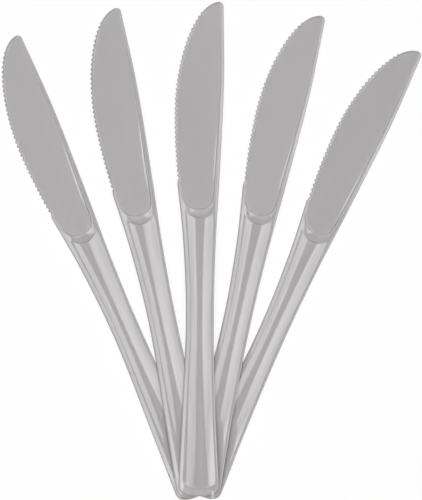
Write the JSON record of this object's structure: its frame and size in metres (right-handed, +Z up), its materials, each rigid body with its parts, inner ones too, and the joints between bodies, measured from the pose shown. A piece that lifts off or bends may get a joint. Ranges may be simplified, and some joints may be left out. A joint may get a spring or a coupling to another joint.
{
  "type": "disposable plastic knife pack",
  "caption": "Fan of disposable plastic table knives piled at their butt ends, each with a fine-toothed blade, a recessed blade panel, a raised spine and a shallow trough along the handle.",
  "frame": {"origin": "middle of the box that bounds the pack, on the surface that it lies on", "axes": "+Z up from the surface, +Y along the centre knife from its butt end to its tip, +X to the right of that, towards the knives' spines"},
  "size_m": [0.1612, 0.1912, 0.015],
  "materials": {
    "silver_plastic": "silver-grey moulded polystyrene, glossy handle and satin blade"
  },
  "bodies": {
    "root": {"knife_far_left": "silver_plastic", "knife_left": "silver_plastic", "knife_centre": "silver_plastic", "knife_right": "silver_plastic", "knife_far_right": "silver_plastic"}
  },
  "joints": []
}
